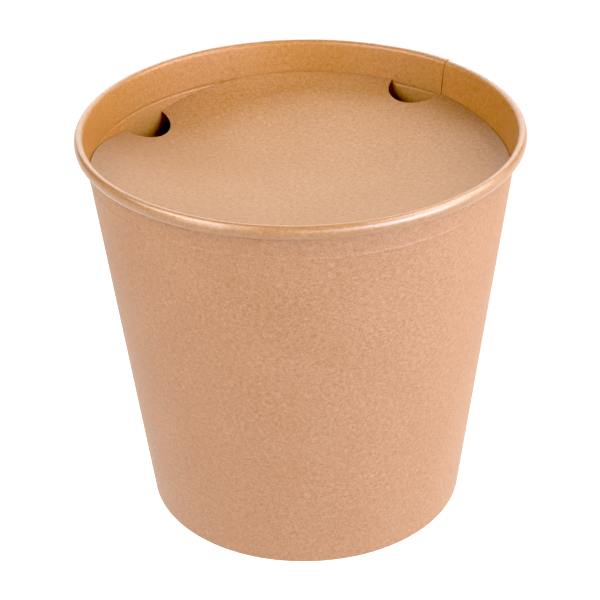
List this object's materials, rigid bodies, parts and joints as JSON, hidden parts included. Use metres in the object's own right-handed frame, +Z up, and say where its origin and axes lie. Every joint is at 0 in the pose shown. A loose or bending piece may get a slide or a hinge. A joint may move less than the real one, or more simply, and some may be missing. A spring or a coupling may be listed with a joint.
{
  "type": "paper food bucket with lid",
  "caption": "Tapered kraft paper bucket for takeaway food, with a rolled rim and a thin, slightly dished paper lid pressed down into a groove in its mouth.",
  "frame": {"origin": "centre of the ring that the bucket stands on", "axes": "+Z up along the bucket's axis, -Y towards the picture's camera, +X to its right"},
  "size_m": [0.2178, 0.2178, 0.2034],
  "materials": {
    "kraft_wall": "satin",
    "kraft_floor": "matte",
    "kraft_lid": "matte"
  },
  "bodies": {
    "root": {"bucket_wall": "kraft_wall", "bucket_floor": "kraft_floor", "lid": "kraft_lid"}
  },
  "joints": []
}
